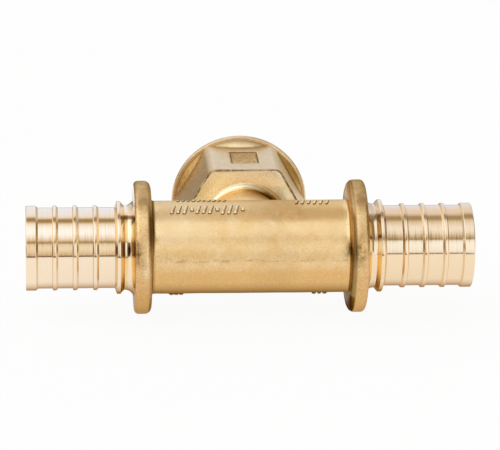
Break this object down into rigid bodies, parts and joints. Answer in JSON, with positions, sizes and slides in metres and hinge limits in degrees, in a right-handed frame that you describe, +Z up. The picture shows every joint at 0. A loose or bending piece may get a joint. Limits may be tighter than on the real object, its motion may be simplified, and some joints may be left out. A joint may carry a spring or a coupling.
{
  "type": "female threaded pex tee",
  "caption": "Brass tee that joins plastic pipe: a straight run with a ribbed tube end and a collar on each side, and a hexagonal branch with a female pipe thread.",
  "frame": {"origin": "where the run's axis crosses the branch's axis", "axes": "+X along the run towards one tube end, +Y along the branch out of its mouth, +Z up, square to one flat of the hexagon"},
  "size_m": [0.1, 0.0506, 0.0316],
  "materials": {
    "forged_brass": "forged, blasted skin on the middle, collars and hexagon; turned and bright on the tube ends and inside the socket"
  },
  "bodies": {
    "root": {"tee_body": "forged_brass"}
  },
  "joints": []
}
